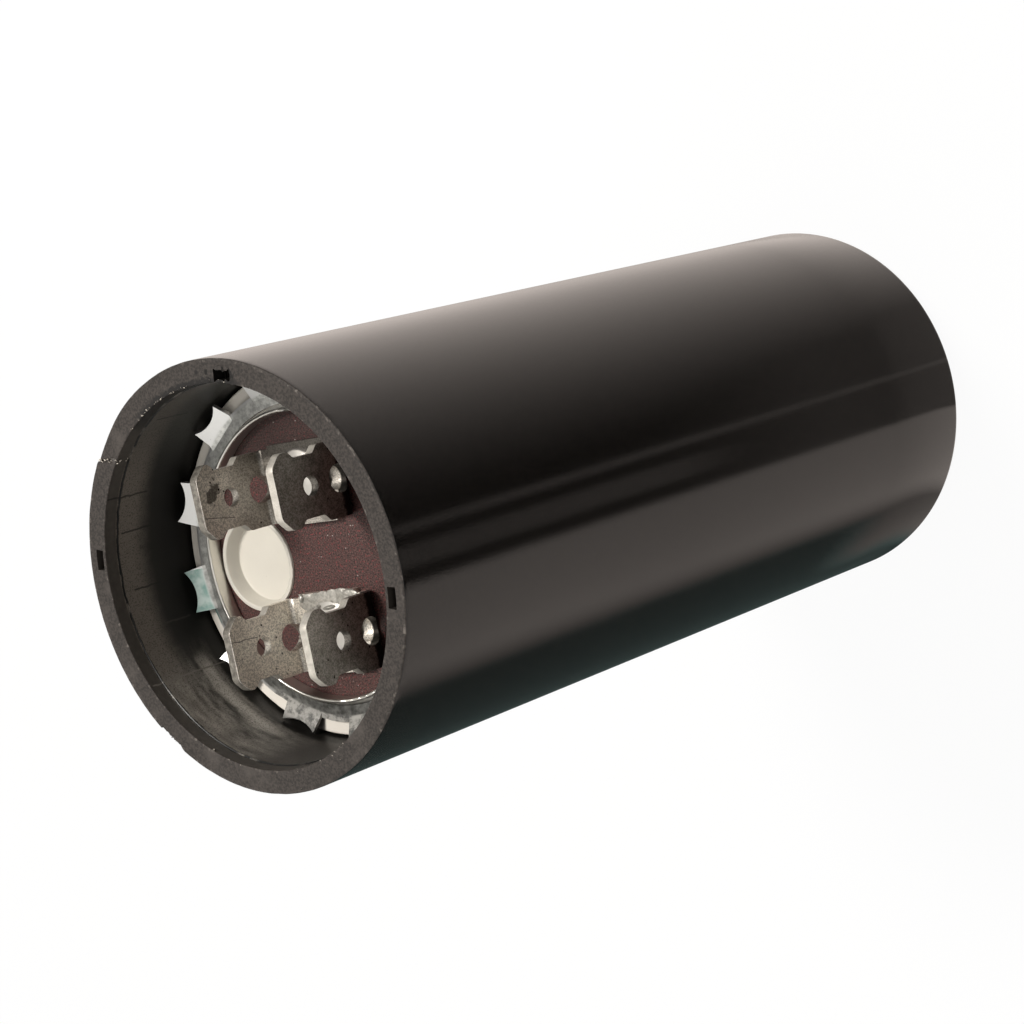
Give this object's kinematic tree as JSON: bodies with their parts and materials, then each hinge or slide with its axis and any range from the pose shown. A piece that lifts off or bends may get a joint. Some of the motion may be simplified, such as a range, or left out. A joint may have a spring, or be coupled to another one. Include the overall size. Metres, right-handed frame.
{
  "type": "motor start capacitor",
  "caption": "Round black moulded case with an open end, where riveted push-on terminals and a vent plug stand on the cover of an inner can held by a toothed ring.",
  "frame": {"origin": "centre of the closed end's flat face", "axes": "+Z along the case axis towards the open end, +Y along the blades' width, +X from blade to blade of a bracket, away from the vent plug"},
  "size_m": [0.0364, 0.0364, 0.0857],
  "materials": {
    "case_plastic": "moulded phenolic, satin black",
    "pad_board": "plain board",
    "can_sheet": "drawn sheet",
    "winding_paper": "soaked paper and foil",
    "lead_foil": "plain strip",
    "seal_rubber": "plain",
    "cover_laminate": "red-brown phenolic laminate",
    "plug_plastic": "cream, soft",
    "rivet_metal": "tinned",
    "terminal_tin": "dull tin",
    "ring_zinc": "mottled zinc plate"
  },
  "bodies": {
    "root": {"case": "case_plastic", "case_pad": "pad_board", "inner_can": "can_sheet", "can_pad": "pad_board", "winding": "winding_paper", "winding_wrap": "winding_paper", "lead_tab_a": "lead_foil", "lead_tab_b": "lead_foil", "cover_seal": "seal_rubber", "cover_plate": "cover_laminate", "vent_plug": "plug_plastic", "rivet_washer_a": "rivet_metal", "rivet_washer_b": "rivet_metal", "rivet_a": "rivet_metal", "rivet_b": "rivet_metal", "terminal_a": "terminal_tin", "terminal_b": "terminal_tin", "retaining_ring": "ring_zinc"}
  },
  "joints": []
}
